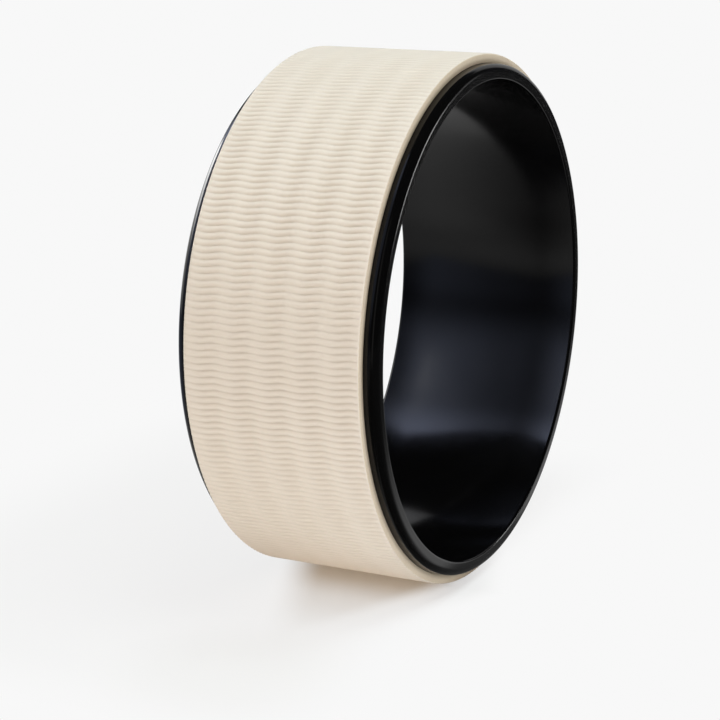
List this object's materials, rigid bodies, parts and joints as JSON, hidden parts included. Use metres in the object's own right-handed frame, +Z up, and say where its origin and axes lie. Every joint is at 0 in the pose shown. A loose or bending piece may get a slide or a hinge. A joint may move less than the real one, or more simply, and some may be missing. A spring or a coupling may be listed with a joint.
{
  "type": "yoga wheel",
  "caption": "Wide plain hoop with a cushioned, wave-ribbed tread bonded round it, rolled under the back in stretching and balance exercises.",
  "frame": {"origin": "centre of the wheel, on its axis, midway between the rims", "axes": "+Y along the wheel's axis, +Z up, so the wheel stands on its tread at the lowest point"},
  "size_m": [0.33, 0.13, 0.33],
  "materials": {
    "hoop_plastic": "polished black moulding",
    "adhesive": "dried contact adhesive",
    "tread_foam": "matte closed-cell foam, embossed with wavy ribs"
  },
  "bodies": {
    "root": {"hoop": "hoop_plastic", "adhesive_film": "adhesive", "tread_pad": "tread_foam"}
  },
  "joints": []
}
